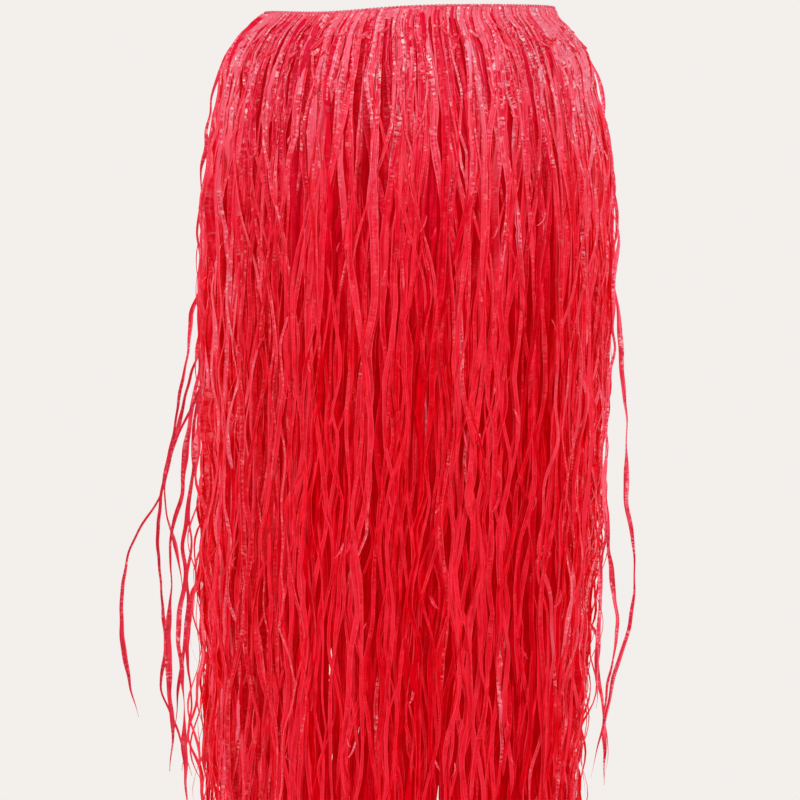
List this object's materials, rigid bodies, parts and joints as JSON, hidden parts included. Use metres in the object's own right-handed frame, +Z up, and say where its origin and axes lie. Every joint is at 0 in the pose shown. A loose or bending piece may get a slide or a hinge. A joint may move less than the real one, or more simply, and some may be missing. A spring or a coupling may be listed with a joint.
{
  "type": "grass skirt",
  "caption": "Full-length red raffia grass skirt, hollow and open at waist and hem, with overlapping fringe layers hanging from a gathered elastic waistband.",
  "frame": {"origin": "middle of the waist opening, level with the waistband's top edge, where the wearer's waist holds the skirt up", "axes": "+Z up along the body, out of the waist opening; -Y towards the front of the skirt; +X towards the viewer's right as seen from the front"},
  "size_m": [0.5153, 0.3126, 0.845],
  "materials": {
    "raffia": "satin",
    "elastic": "matte"
  },
  "bodies": {
    "root": {"waist_elastic": "elastic", "fringe_under": "raffia", "fringe_inner": "raffia", "fringe_middle": "raffia", "fringe_top": "raffia"}
  },
  "joints": []
}
